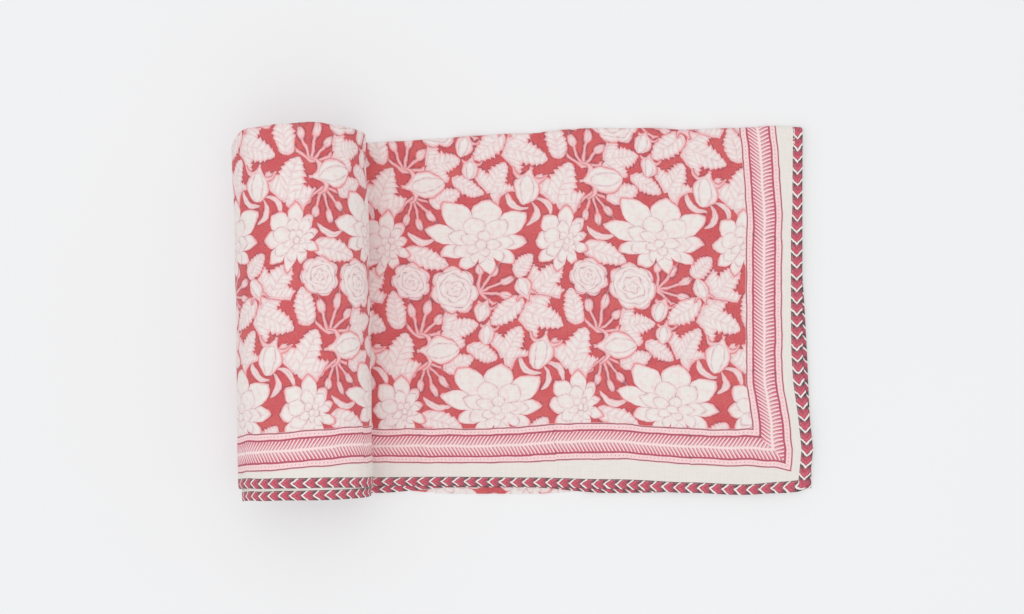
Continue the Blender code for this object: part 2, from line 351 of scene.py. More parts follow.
def make_piece(name, shells, material, sharp=50):
    """One object of some shells, each with its place on the flat cloth as a UV map."""
    starts = np.cumsum([0] + [len(points) for points, _, _ in shells])
    points = np.concatenate([points for points, _, _ in shells])
    faces = np.concatenate([faces + start for (_, faces, _), start in zip(shells, starts)])
    flat = np.concatenate([flat for _, _, flat in shells])
    data = bpy.data.meshes.new(name)
    data.from_pydata(points.tolist(), [], faces.tolist())
    layer = data.uv_layers.new(name="flat_cloth")
    corner = np.empty(len(data.loops), np.int32)
    data.loops.foreach_get("vertex_index", corner)
    layer.data.foreach_set("uv", flat[corner].astype(np.float32).ravel())
    data.validate()
    data.shade_smooth()
    data.set_sharp_from_angle(angle=math.radians(sharp))
    data.materials.append(material)
    piece = bpy.data.objects.new(name, data)
    bpy.context.scene.collection.objects.link(piece)
    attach(piece, "root")
    return piece


def steps(start, *stretches):
    """Values from the start through the stretches, each (to, about how far apart)."""
    values = [start]
    for end, apart in stretches:
        count = max(1, round(abs(end - values[-1]) / apart))
        values += list(np.linspace(values[-1], end, count + 1)[1:])
    return np.array(values)


def columns_through(start, *stretches):
    """Places across the cloth for each way along it, from the start through the stretches, each (to, how
    many)."""
    columns = [start[:, None]]
    for end, count in stretches:
        columns.append(start[:, None] + (end - start)[:, None] * np.linspace(0, 1, count + 1)[1:])
        start = end
    return np.concatenate(columns, axis=1)


def top_columns(along):
    """Across the top layer, round the outer fold and a little way under it."""
    ends, _ = marks(along)
    seam = read(EDGE_WIDTHS, along) + SEAM_GAP
    return columns_through(seam, (ends[0], 131), (ends[1], 10), (ends[1] + UNDER_LAP, 4))


def under_columns(along, *before):
    """Across the three layers below the top one, as far as edge 2. What lies before them can be given."""
    ends, _ = marks(along)
    seam = FLAT_WIDTH - read(EDGE_WIDTHS, along) - SEAM_GAP
    start = before or (ends[1] + UNDER_LAP,)
    return columns_through(*start, (ends[2], 12), (ends[3], 5), (ends[4], 12), (ends[5], 5), (seam, 12))


def all_columns(along):
    """Across all four layers, from edge 1 to edge 2."""
    ends, _ = marks(along)
    seam = read(EDGE_WIDTHS, along) + SEAM_GAP
    return under_columns(along, seam, (ends[0], 12), (ends[1], 8), (ends[1] + UNDER_LAP, 2))


def sheet_shell(along, columns, uneven):
    """A closed shell over a grid of the flat cloth. columns gives the places across for the ways along."""
    across = columns(along)
    along = np.broadcast_to(along[:, None], across.shape)
    off = uneven(along, across)
    face, back = (place(along, across, off + side) for side in (HALF_SHEET, -HALF_SHEET))
    points, faces = grid_shell(face, back)
    inner = np.clip((across / MM - BORDER_AT) / (2 * BORDER_HALF), 0, 1)
    slipped = across + read(EDGE_SLIP, along) + inner * read(BORDER_NARROWER, along)
    flat = np.stack([along + read(END_SLIP, across), slipped], axis=-1).reshape(-1, 2)
    return points, faces, np.concatenate([flat, flat])


# The folded strip's outline: how far in from the edge, as a share of its width, and its height as a share.
# It goes from the seam on the printed side, over the nose at the edge, to the seam on the back.
BINDING_OUTLINE = np.array((
    (1.000, 0.55), (0.975, 0.86), (0.900, 0.92), (0.820, 0.80), (0.740, 0.96), (0.560, 1.00), (0.360, 0.98),
    (0.180, 0.90), (0.070, 0.66), (0.020, 0.34), (0.000, 0.00),
    (0.020, -0.34), (0.070, -0.60), (0.200, -0.72), (0.500, -0.74), (0.800, -0.70), (0.960, -0.66),
    (1.000, -0.50),
))
OUTLINE_NOSE = 10  # the nose's row


def binding_shell(edge, seam, way, thick, uneven):
    """The binding between rows of flat points on the edge and on the seam. way is how far along the strip
    they are."""
    share, rise = BINDING_OUTLINE.T
    flat = edge[:, None, :] + (seam - edge)[:, None, :] * share[None, :, None]
    along, across = flat[..., 0], flat[..., 1]
    stitched = 1 + PUCKER * np.sin(TURN * way / PUCKER_PITCH)[:, None] * (rise > 0.6)[None, :]
    front = np.broadcast_to(thick, way.shape)[:, None]
    height = np.where(rise > 0, front, BACK_THICKNESS) * rise * stitched
    ring = place(along, across, height + uneven(along, across))
    rows, columns = ring.shape[:2]
    index = np.arange(rows * columns).reshape(rows, columns)
    after = np.roll(index, -1, axis=1)
    sides = np.stack([index[:-1].ravel(), index[1:].ravel(), after[1:].ravel(), after[:-1].ravel()], axis=1)
    caps = [
        [row[i], row[i + 1], row[columns - 2 - i], row[columns - 1 - i]][::way_round]
        for row, way_round in ((index[0], 1), (index[-1], -1))
        for i in range(columns // 2 - 1)
    ]
    side = np.where(np.arange(columns) > OUTLINE_NOSE, -1.0, 1.0)
    strip = np.stack(np.broadcast_arrays(way[:, None], share * side * BINDING_WIDTH), axis=-1)
    return outward(ring.reshape(-1, 3), np.concatenate([sides, np.array(caps)])) + (strip.reshape(-1, 2),)


def outward(points, faces):
    """A shell's points, and its faces pointing out."""
    a, b, c, d = (points[faces[:, k]] for k in range(4))
    volume = (a * np.cross(b, c)).sum() + (a * np.cross(c, d)).sum()
    return points, faces if volume > 0 else faces[:, ::-1]


CORNER_MARGIN = 0.8 * MM  # the seam turns the corner on this small radius, so no face has zero width
CORNER_LENGTH = math.pi / 2 * (BINDING_WIDTH / 2 + CORNER_MARGIN)
CORNER_AT = BINDING_WIDTH + CORNER_MARGIN  # how far the turn's centre lies from the cloth's two edges
CORNER_POINTS = 9
TAIL_END_WAY = CORNER_LENGTH + FLAT_WIDTH - 2 * CORNER_AT  # how far along the strip the second corner starts

# How far apart the end bindings' points lie across each layer and fold: close together round the folds
END_SPACING = (0.0022, 0.0010, 0.0060, 0.00045, 0.0060, 0.00045, 0.0060)


def corner_turn(centre, first):
    """The flat points of the binding round a corner of the cloth, a quarter turn on from first degrees."""
    angles = math.radians(first) - np.linspace(0, math.pi / 2, CORNER_POINTS)
    way = np.stack([np.cos(angles), np.sin(angles)], axis=1)
    return centre + way * CORNER_AT, centre + way * CORNER_MARGIN


def flat_line(along, across):
    """Flat points from ways along and places across, either of which may be one number."""
    return np.stack(np.broadcast_arrays(along, across), axis=-1).astype(float)


def end_samples(at):
    """Places across the cloth for a binding over all four layers, at that way along."""
    ends, _ = marks(at)
    return steps(CORNER_AT, *zip([*ends[:-1], FLAT_WIDTH - CORNER_AT], END_SPACING))


def tail_end_binding():
    """The binding across the tail's end, through all four layers and round both corners."""
    across = end_samples(BINDING_MIDDLE)
    first_edge, first_seam = corner_turn(np.array([CORNER_AT, CORNER_AT]), 270)
    last_edge, last_seam = corner_turn(np.array([CORNER_AT, FLAT_WIDTH - CORNER_AT]), 180)
    edge = np.concatenate([first_edge[:-1], flat_line(0.0, across), last_edge[1:]])
    seam = np.concatenate([first_seam[:-1], flat_line(read(END_WIDTHS, across), across), last_seam[1:]])
    corner_way = np.linspace(0, CORNER_LENGTH, CORNER_POINTS)
    way = np.concatenate([corner_way[:-1], CORNER_LENGTH + across - CORNER_AT, TAIL_END_WAY + corner_way[1:]])
    ends, _ = marks(BINDING_MIDDLE)
    margin = PRESSED_MARGIN
    places = (ends[0] - PRESSED_EASE, ends[0] - margin, ends[2] - margin, ends[3] + margin)
    thicknesses = (UPPER_THICKNESS, PRESSED_THICKNESS, PRESSED_THICKNESS, LOWER_THICKNESS)
    thick = np.interp(edge[:, 1], places, thicknesses)
    return binding_shell(edge, seam, way, thick, partial(top_relief, at=BINDING_MIDDLE))


def make_dohar(print_material, binding_material):
    """The whole blanket: three pieces of one printed sheet and four strips of binding."""
    tail_ways = steps(END_START, (NEAR_CREASE, 0.0030), (TAIL_PART, 0.0015))
    turn_ways = steps(TAIL_PART, (PAST_CREASE, 0.0011), (RISE_END, 0.0025), (OUTER_TURN_END, 0.0032))
    under_ways = steps(
        END_START, (NEAR_CREASE, 0.0200), (TAIL_PART, 0.004), (PAST_CREASE, 0.0016), (OUTER_TURN_END, 0.0060),
    )
    core_ways = steps(OUTER_TURN_END, (FLAT_LENGTH - END_START, 0.0050))
    tail = make_piece("printed_tail_layer", [sheet_shell(tail_ways, top_columns, top_relief)], print_material)
    turn = make_piece("printed_outer_turn", [sheet_shell(turn_ways, top_columns, top_relief)], print_material)
    layers = [sheet_shell(under_ways, under_columns, still), sheet_shell(core_ways, all_columns, still)]
    cloth = make_piece("folded_and_rolled_cloth", layers, print_material)

    upper_ways, lower_ways = (
        steps(
            CORNER_AT, (NEAR_CREASE, on_tail), (PAST_CREASE, on_crease), (EDGES_HIDDEN, on_roll),
            (FLAT_LENGTH - CORNER_AT, 0.0060),
        )
        for on_tail, on_crease, on_roll in ((0.0022, 0.0012, 0.0026), (0.0040, 0.0016, 0.0030))
    )
    upper = binding_shell(
        flat_line(upper_ways, 0.0), flat_line(upper_ways, read(EDGE_WIDTHS, upper_ways)),
        CORNER_AT - upper_ways, UPPER_THICKNESS, upper_relief,
    )
    lower = binding_shell(
        flat_line(lower_ways, FLAT_WIDTH), flat_line(lower_ways, FLAT_WIDTH - read(EDGE_WIDTHS, lower_ways)),
        TAIL_END_WAY + CORNER_LENGTH + CORNER_AT - lower_ways, LOWER_THICKNESS, still,
    )
    core_across = end_samples(FLAT_LENGTH)
    core_end = binding_shell(
        flat_line(FLAT_LENGTH, core_across), flat_line(FLAT_LENGTH - BINDING_WIDTH, core_across),
        core_across, CORE_THICKNESS, still,
    )
    bindings = [
        make_piece(name, [shell], binding_material, sharp=70)
        for name, shell in (
            ("chevron_binding_upper", upper), ("chevron_binding_lower", lower),
            ("chevron_binding_tail_end", tail_end_binding()), ("chevron_binding_core_end", core_end),
        )
    ]
    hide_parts("cloth")
    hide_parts("cloth")
    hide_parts("cloth")
    nodes = ("binding_upper_edge", "binding_lower_edge", "binding_tail_end", "binding_core_end")
    for piece, node in zip(bindings, nodes):
        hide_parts(node)


# Materials


def linear(hex_colour):
    """An sRGB hex colour as linear numbers."""
    values = [int(hex_colour[i:i + 2], 16) / 255 for i in (0, 2, 4)]
    return tuple(v / 12.92 if v <= 0.04045 else ((v + 0.055) / 1.055) ** 2.4 for v in values) + (1.0,)


def fill(socket, value):
    """Links an input to another node's output, or gives it a value. A text is an sRGB hex colour."""
    if isinstance(value, bpy.types.NodeSocket):
        socket.id_data.links.new(value, socket)
    else:
        socket.default_value = linear(value) if isinstance(value, str) else value


# What the second word of a node's kind sets
SETTING = {
    "Math": "operation", "VectorMath": "operation", "Mix": "data_type", "Mapping": "vector_type",
    "TexNoise": "noise_dimensions", "TexWhiteNoise": "noise_dimensions", "UVMap": "uv_map",
}


def add(tree, kind, *inputs, stops=(), **named):
    """Adds one node of a kind such as "Math ADD". Values or sockets go to its inputs in order or by name.
    stops are a colour ramp's places and colours, the first of them at 0."""
    kind, _, setting = kind.partition(" ")
    node = tree.nodes.new("ShaderNode" + kind)
    if setting:
        setattr(node, SETTING[kind], setting)
    if stops:
        elements = node.color_ramp.elements
        elements.remove(elements[1])
        elements[0].color = linear(stops[0][1])
        for at, colour in stops[1:]:
            elements.new(at).color = linear(colour)
    sockets = [socket for socket in node.inputs if socket.enabled]
    for socket, value in zip(sockets, inputs):
        fill(socket, value)
    for name, value in named.items():
        fill(next(socket for socket in sockets if socket.name == name), value)
    return next(socket for socket in node.outputs if socket.enabled)


def new_material(name):
    """A new material, the function that adds a node to it, and its shader."""
    material = bpy.data.materials.new(name)
    material.use_nodes = True
    tree = material.node_tree
    return material, partial(add, tree), tree.nodes["Principled BSDF"]


def joined(node, kind, *values):
    """Some values put together by nodes of one kind, one after the other."""
    out = values[0]
    for value in values[1:]:
        out = node(kind, out, value)
    return out


def away(node, value, middle):
    """How far a value is from a middle, on either side."""
    return node("Math ABSOLUTE", node("Math ADD", value, -middle))


def distance(node, x, y):
    """How far a point lies from the middle."""
    return node("VectorMath LENGTH", node("CombineXYZ", x, y, 0.0))


def through(node, value, pitch):
    """How far a value is through its pitch, from 0 to 1."""
    return node("Math FRACT", node("Math MULTIPLY", value, 1 / pitch))


def shaken(node, at, reach, **noise):
    """Points moved about softly, as far as reach in all, since hand printing is never quite even."""
    shake = node("TexNoise 2D", at, **noise).node.outputs["Color"]
    shake = node("VectorMath SUBTRACT", shake, (0.5, 0.5, 0.5))
    return node("VectorMath MULTIPLY_ADD", shake, (reach, reach, 0.0), at)


# The floral repeat, in millimetres, and the motifs in it: kind, and the half length and half width of the
# room that it gets. The flowers are printed over the leaves.
REPEAT_X, REPEAT_Y = 186.0, 173.0
REPEAT_LEAN = 0.073
REPEAT_AT_ALONG, REPEAT_AT_ACROSS = 341.5, 266.6
BLOOM, ROSE, BUD, LEAF, CLUSTER, SPRIG, CRESCENT = range(7)
FLOWER_ROOMS = (
    (BLOOM, 53, 39), (BLOOM, 34, 28), (ROSE, 25, 25), (ROSE, 20, 20), (BUD, 15, 20), (BUD, 14, 18),
    (BUD, 9, 12), (BUD, 9, 12), (BUD, 8.5, 11.5),
)
LEAF_ROOMS = (
    (CLUSTER, 25, 24), (CLUSTER, 23, 22), (CLUSTER, 21, 20), (CLUSTER, 20, 19), (CLUSTER, 19, 18),
    (SPRIG, 21, 19), (SPRIG, 20, 18), (SPRIG, 18, 16), (LEAF, 23, 11.5), (LEAF, 22, 11), (LEAF, 20, 10.5),
    (LEAF, 18, 9.5), (LEAF, 17, 9), (LEAF, 15, 8.5), (CRESCENT, 14, 6.5), (CRESCENT, 14, 6.5),
    (CRESCENT, 12, 5.8), (CRESCENT, 12, 5.8),
)
FILLS_ROOM = {  # how much longer and wider than its room a motif is drawn
    BLOOM: (1.03, 1.03), ROSE: (1.04, 1.04), BUD: (1.10, 1.06), LEAF: (1.00, 1.08), CRESCENT: (1.12, 1.20),
    CLUSTER: (1.00, 1.00), SPRIG: (1.00, 1.00),
}
ROOM_MARGIN = 0.7
ROOM_RIM = 3.0  # over this a room's rim fades
# The search for their places. A pair holds a value at its end, and how much more that is at its start.
SEARCH_SEED = 2
SEARCH_MOVES = 34000
SEARCH_GRID = 2.2  # a layout is weighed at points this far apart
SWAPS, JUMPS = 0.16, 0.24  # a random number below the first makes a move a swap, and below the second a jump
SHIFT_REACH = (0.6, 13.0)
SHIFT_SWING = (0.08, 0.9)  # in radians
LENIENCE = (0.3, 30.0)  # how much worse a move may be and still be kept, about
FIRST_LEAN, MOST_LEAN = 0.6, 0.9  # of the second bloom, in radians
# What counts against a layout
FLOWERS_OVER, LEAVES_OVER, LEAF_HIDDEN, GROUND_BARE = 1.2, 1.0, 0.28, 0.55
WELL_COVERED = 0.6  # ground covered less than this counts as bare


def wrapped(value, whole):
    """A value brought to within half a repeat of 0."""
    return (value + whole / 2) % whole - whole / 2


def room_cover(room, spot):
    """How fully a motif's room covers each point of the repeat, with its middle and turn at a spot."""
    _, long, wide = room
    x, y, turn = spot
    grid_x, grid_y = (np.arange(0, whole, SEARCH_GRID) - whole / 2 for whole in (REPEAT_X, REPEAT_Y))
    off_x, off_y = wrapped(grid_x - x, REPEAT_X)[None, :], wrapped(grid_y - y, REPEAT_Y)[:, None]
    long, wide = long + ROOM_MARGIN, wide + ROOM_MARGIN
    own_x = (off_x * math.cos(turn) + off_y * math.sin(turn)) / long
    own_y = (off_y * math.cos(turn) - off_x * math.sin(turn)) / wide
    inside = (1 - np.sqrt(own_x * own_x + own_y * own_y)) * (long + wide) / 2
    return np.clip(inside / ROOM_RIM + 0.5, 0, 1)


def crowding(flowers, leaves):
    """How badly the motifs lie: flowers over flowers, leaves over leaves, hidden leaves and bare ground."""
    flowers_over, leaves_over = ((np.clip(layer - 1, 0, None) ** 2).sum() for layer in (flowers, leaves))
    hidden = (np.minimum(flowers, 1) * np.minimum(leaves, 1)).sum()
    bare = np.clip(WELL_COVERED - (flowers + leaves), 0, None).sum()
    over = FLOWERS_OVER * flowers_over + LEAVES_OVER * leaves_over
    return over + LEAF_HIDDEN * hidden + GROUND_BARE * bare


def any_place(draw):
    """A random place on the repeat."""
    return [draw.uniform(-REPEAT_X / 2, REPEAT_X / 2), draw.uniform(-REPEAT_Y / 2, REPEAT_Y / 2)]


def any_turn(draw):
    """A random turn."""
    return [draw.uniform(-math.pi, math.pi)]


def fading(pair, left):
    """A value that falls as the search goes on, with that share of it left."""
    at_end, more_before = pair
    return more_before * left + at_end


def next_move(draw, spots, left):
    """New spots for one motif or two: they swap, or one jumps or shifts. The first bloom never moves, and the
    second stays nearly upright."""
    which, pick = int(draw.integers(1, len(spots))), draw.random()
    x, y, turn = spots[which]
    if pick < SWAPS:
        other = int(draw.integers(1, len(spots)))
        swapped = {which: [*spots[other][:2], turn], other: [x, y, spots[other][2]]}
        return swapped if other != which else {}
    if pick < JUMPS:
        return {which: any_place(draw) + ([turn] if which == 1 else any_turn(draw))}
    x, y = (value + draw.normal() * fading(SHIFT_REACH, left) for value in (x, y))
    turn += draw.normal() * fading(SHIFT_SWING, left)
    return {which: [x, y, max(-MOST_LEAN, min(MOST_LEAN, turn)) if which == 1 else turn]}


def spread_motifs():
    """Lays the motifs out evenly: rows of kind, middle x and y, turn in degrees, half length and half width,
    for the flowers and for the leaves. Many random moves are tried from a seeded start. One that spreads the
    motifs better is kept, and so are some that don't, fewer and fewer."""
    rooms, flowers = FLOWER_ROOMS + LEAF_ROOMS, len(FLOWER_ROOMS)
    draw = np.random.default_rng(SEARCH_SEED)
    spots = [any_place(draw) + any_turn(draw) for _ in rooms]
    spots[0], spots[1][2] = [0.0, 0.0, 0.0], draw.uniform(-FIRST_LEAN, FIRST_LEAN)
    covers = [room_cover(room, spot) for room, spot in zip(rooms, spots)]
    layers = [sum(covers[:flowers]), sum(covers[flowers:])]
    crowded = crowding(*layers)
    least, best = crowded, spots[:]
    for count in range(SEARCH_MOVES):
        left = 1 - count / SEARCH_MOVES
        new_spots = next_move(draw, spots, left)
        if not new_spots:
            continue
        new_covers = {which: room_cover(rooms[which], spot) for which, spot in new_spots.items()}
        new_layers = [layer.copy() for layer in layers]
        for which, cover in new_covers.items():
            new_layers[which >= flowers] += cover - covers[which]
        now = crowding(*new_layers)
        if now < crowded or draw.random() < math.exp((crowded - now) / fading(LENIENCE, left ** 2)):
            for which, spot in new_spots.items():
                spots[which], covers[which] = spot, new_covers[which]
            layers, crowded = new_layers, now
        if crowded < least:
            least, best = crowded, spots[:]
    rows = []
    for (kind, long, wide), (x, y, turn) in zip(rooms, best):
        longer, wider = FILLS_ROOM[kind]
        middle = (round(wrapped(x, REPEAT_X), 1), round(wrapped(y, REPEAT_Y), 1))
        size = (round(long * longer, 1), round(wide * wider, 1))
        rows.append((kind, *middle, round(math.degrees(turn)) % 360, *size))
    return rows[:flowers], rows[flowers:]


FLOWERS, LEAVES = spread_motifs()
KIND_CODE = 1000.0  # one number carries a motif's kind, in thousands, and its size
NO_NEIGHBOUR = 99.0  # further off than any motif
NO_STROKE = 9.0  # too far off a pink line for it to show
MOTIF_GAP = 0.3
FLOWER_GAP = 0.7  # between a flower and the leaves behind it
PINK_BESIDE = 1.15  # how far the pink line lies from the grey one


def pick_motif(node, at, motifs):
    """The nearest motif: its own coordinates from -1 to 1, its kind, its mean half size, and how far off the
    halfway line to the next one is."""
    nearest = None
    for kind, x, y, turn, long, wide in motifs:
        low, high = ((x + side * REPEAT_X / 2, y + side * REPEAT_Y / 2, 0) for side in (-1, 1))
        here = node("VectorMath WRAP", at, high, low)
        own = node("Mapping TEXTURE", here, (x, y, 0), (0, 0, math.radians(turn)), (long, wide, 1))
        size = (long + wide) / 2
        out = node("Math MULTIPLY_ADD", node("VectorMath LENGTH", own), size, -size)
        code = KIND_CODE * kind + size
        if nearest is None:
            nearest, after, chosen, picked = out, NO_NEIGHBOUR, own, code
            continue
        nearer = node("Math LESS_THAN", out, nearest)
        after = node("Math MINIMUM", after, node("Math MAXIMUM", out, nearest))
        nearest = node("Math MINIMUM", out, nearest)
        chosen = node("Mix VECTOR", nearer, chosen, own)
        picked = node("Mix FLOAT", nearer, picked, code)
    kind = node("Math FLOOR", node("Math DIVIDE", picked, KIND_CODE))
    size = node("Math MODULO", picked, KIND_CODE)
    clear = node("Math MULTIPLY_ADD", node("Math SUBTRACT", after, nearest), 0.5, -MOTIF_GAP)
    return chosen, kind, size, clear


HEART_LOW = 0.28  # how far below its middle the bloom's petals meet
HEART_RADIUS = 0.11
# The bloom's rings: how many petals, where the first starts, how low the ring's middle lies, how far out the
# notches are and how long the petals
PETAL_RINGS = ((9, 40.5, 0.24, 0.60, 0.44), (7, 20.5, 0.10, 0.40, 0.30), (5, 60.5, 0.03, 0.17, 0.22))


def draw_bloom(node, x, y, size):
    """A wide open flower seen from a little above: three rings of pointed petals of uneven length round a
    low heart."""
    low = node("Math ADD", y, HEART_LOW)
    angle = node("Math ARCTAN2", low, x)
    insides, partings, middles = [], [], []
    for count, start, rise, notch, length in PETAL_RINGS:
        radius = distance(node, x, node("Math ADD", low, -rise))
        petal = node("Math MULTIPLY_ADD", angle, count / TURN, start)
        part = node("Math PINGPONG", petal, 0.5)
        each = node("TexWhiteNoise 1D", node("Math ADD", node("Math FLOOR", petal), size))
        long = node("MapRange", each, 0.0, 1.0, 0.6 * length, 1.15 * length)
        tip = node("Math POWER", node("Math MULTIPLY", part, 2.0), 0.55)
        insides.append(node("Math SUBTRACT", node("Math MULTIPLY_ADD", tip, long, notch), radius))
        parting = joined(node, "Math MULTIPLY", part, radius, TURN / count)
        partings.append(parting)
        middles.append(node("Math SUBTRACT", node("Math MULTIPLY", radius, math.pi / count), parting))
    insides.append(node("Math SUBTRACT", HEART_RADIUS, distance(node, x, low)))
    lines = [node("Math ABSOLUTE", inside) for inside in insides[1:]]
    strokes = []
    for parting, middle, own, over in zip(partings, middles, insides, insides[1:]):
        covered = node("Math GREATER_THAN", over, 0.0)
        covered = node("Math ADD", node("Math LESS_THAN", own, 0.0), covered)
        lines.append(node("Math ADD", parting, covered))
        strokes.append(joined(node, "Math ADD", middle, node("Math LESS_THAN", over, -0.10), covered))
    line, stroke = joined(node, "Math MINIMUM", *lines), joined(node, "Math MINIMUM", *strokes)
    return [node("Math MULTIPLY", value, size) for value in (insides[0], line, stroke)]


ROSE_WINDING = 4.6  # turns of petals from the middle to the rim


def draw_rose(node, x, y, size):
    """A round full rose: a scalloped rim and petals wound inwards."""
    radius = distance(node, x, y)
    angle = node("Math ARCTAN2", y, x)
    scallop = node("Math PINGPONG", node("Math MULTIPLY_ADD", angle, 7 / TURN, 0.5), 0.5)
    rim = node("Math MULTIPLY_ADD", node("Math POWER", scallop, 0.5), 0.26, 0.80)
    petal = node("Math MULTIPLY_ADD", angle, 5 / TURN, node("Math MULTIPLY", radius, 2.1))
    petal = node("Math PINGPONG", petal, 0.5)
    wound = node("Math MULTIPLY_ADD", radius, ROSE_WINDING, node("Math MULTIPLY", angle, 1 / TURN))
    wound = node("Math PINGPONG", node("Math MULTIPLY_ADD", petal, -0.9, wound), 0.5)
    line = node("Math MULTIPLY", wound, 1 / ROSE_WINDING)
    inside = node("Math SUBTRACT", rim, radius)
    return [node("Math MULTIPLY", value, size) for value in (inside, line)]


def arched(node, along, power):
    """An arch over -1 to 1, and how far past its ends a point lies, as a negative."""
    open_arch = node("Math SUBTRACT", 1.0, node("Math MULTIPLY", along, along))
    arch = node("Math POWER", node("Math MAXIMUM", open_arch, 0.0), power)
    return arch, node("Math MINIMUM", open_arch, 0.0)


LEAF_PLUMPNESS = 0.55
LEAF_VEINS = 3.4  # veins on each side, in half a leaf's length
LEAF_SLIMNESS = 0.73  # a leaf's mean size counts for less, because it is slim


def draw_leaf(node, x, y, size, teeth):
    """A pointed leaf with a midrib and slanting veins. teeth is how deep its edge is cut."""
    side = node("Math ABSOLUTE", y)
    arch, past = arched(node, x, LEAF_PLUMPNESS)
    skewed = node("Math MULTIPLY", arch, node("Math MULTIPLY_ADD", x, -0.25, 1.05))
    ribs = node("Math SUBTRACT", node("Math MULTIPLY", x, LEAF_VEINS), node("Math MULTIPLY", side, 1.3))
    ribs = node("Math FRACT", ribs)
    rim = node("Math MULTIPLY", skewed, node("Math MULTIPLY_ADD", ribs, -teeth, 1.0))
    inside = node("Math MULTIPLY", node("Math ADD", node("Math SUBTRACT", rim, side), past), size)
    vein = node("Math MULTIPLY", node("Math PINGPONG", ribs, 0.5), 1.6 / LEAF_VEINS)
    return inside, node("Math MULTIPLY_ADD", node("Math MINIMUM", side, vein), size, 0.22)


def draw_single_leaf(node, x, y, size):
    """One leaf on its own."""
    return draw_leaf(node, x, y, node("Math MULTIPLY", size, LEAF_SLIMNESS), 0.22)


def fan(node, x, y, apart, most, shorter):
    """Folds a fan of like parts opening from the motif's foot into one part: along it from 0 to 2, and to its
    side. The parts lie apart by that many degrees, as many as most on each side of the middle one, and grow
    shorter outwards."""
    apart = math.radians(apart)
    up = node("Math ADD", x, 1.0)
    angle = node("Math ARCTAN2", y, up)
    which = node("Math ROUND", node("Math MULTIPLY", angle, 1 / apart))
    which = node("Math MINIMUM", node("Math MAXIMUM", which, -most), most)
    rest = node("Math MULTIPLY_ADD", which, -apart, angle)
    radius = distance(node, up, y)
    grow = node("Math MULTIPLY_ADD", node("Math ABSOLUTE", which), shorter, 1.0)
    along = joined(node, "Math MULTIPLY", radius, node("Math COSINE", rest), grow)
    return along, node("Math MULTIPLY", radius, node("Math SINE", rest))


CLUSTER_LEAF = 0.60  # a leaf of a cluster against the whole of it


def draw_cluster(node, x, y, size):
    """Three leaves on one stalk."""
    along, side = fan(node, x, y, 60, 1.0, 0.18)
    x, y = node("Math MULTIPLY_ADD", along, 1.04, -1.04), node("Math MULTIPLY", side, 1 / CLUSTER_LEAF)
    return draw_leaf(node, x, y, node("Math MULTIPLY", size, CLUSTER_LEAF), 0.24)


STEM_HALF = 0.062
SPRIG_BUD = (1.60, 0.36, 0.21)  # how far out its middle lies, its half length and its half width


def draw_sprig(node, x, y, size):
    """Five thin stems from one foot, each with a small bud."""
    along, side = fan(node, x, y, 33, 2.0, 0.13)
    side = node("Math ABSOLUTE", side)
    out, long, wide = SPRIG_BUD
    stem = node("Math MULTIPLY", node("Math LESS_THAN", along, out), STEM_HALF)
    stem = node("Math SUBTRACT", stem, side)
    bud_x = node("Math MULTIPLY_ADD", along, 1 / long, -out / long)
    bud = distance(node, bud_x, node("Math MULTIPLY", side, 1 / wide))
    bud = node("Math MULTIPLY_ADD", bud, -0.22, 0.22)
    inside = node("Math MAXIMUM", stem, bud)
    line = node("Math ADD", side, node("Math LESS_THAN", along, 1.42))
    return [node("Math MULTIPLY", value, size) for value in (inside, line)]


def draw_crescent(node, x, y, size):
    """A bent sepal with one line inside."""
    bend = node("Math MULTIPLY_ADD", node("Math MULTIPLY", x, x), 1.05, -0.45)
    side = node("Math ABSOLUTE", node("Math ADD", bend, y))
    arch, past = arched(node, x, 0.6)
    rim = node("Math MULTIPLY_ADD", arch, node("Math MULTIPLY_ADD", x, 0.14, 0.46), past)
    return [node("Math MULTIPLY", value, size) for value in (node("Math SUBTRACT", rim, side), side)]


BUD_HALF = 0.80  # half the bud's height
BUD_RAISED = 0.2
SEPAL_BEND = 0.60  # the radius that the sepals bend on


def draw_bud(node, x, y, size):
    """A half open bud: upright petals, two sepals bending away under them, and a bit of stalk."""
    side = node("Math ABSOLUTE", x)
    up = node("Math MULTIPLY_ADD", y, 1 / BUD_HALF, -BUD_RAISED / BUD_HALF)
    arch, past = arched(node, up, 0.60)
    width = node("Math MULTIPLY_ADD", arch, node("Math MULTIPLY_ADD", up, -0.16, 0.84), past)
    body = node("Math SUBTRACT", width, side)
    hook = away(node, distance(node, node("Math ADD", side, -0.56), node("Math ADD", y, 1.05)), SEPAL_BEND)
    hook = node("Math SUBTRACT", node("Math MULTIPLY_ADD", side, -0.12, 0.19), hook)
    hook = node("Math SUBTRACT", hook, node("Math LESS_THAN", y, -0.92))
    stalk = node("Math ADD", away(node, y, -0.82), -0.22)
    stalk = node("Math SUBTRACT", 0.09, node("Math MAXIMUM", stalk, side))
    lean = node("Math ADD", x, node("Math MULTIPLY", up, 0.10))
    fold = node("Math SUBTRACT", node("Math ABSOLUTE", lean), node("Math MULTIPLY", width, 0.50))
    base = node("Math ADD", node("Math ABSOLUTE", body), node("Math GREATER_THAN", y, -0.35))
    line = node("Math MINIMUM", node("Math ABSOLUTE", fold), base)
    inside = joined(node, "Math MAXIMUM", body, hook, stalk)
    return [node("Math MULTIPLY", value, size) for value in (inside, line)]


DRAWN = {
    BLOOM: draw_bloom, ROSE: draw_rose, BUD: draw_bud, LEAF: draw_single_leaf, CLUSTER: draw_cluster,
    SPRIG: draw_sprig, CRESCENT: draw_crescent,
}


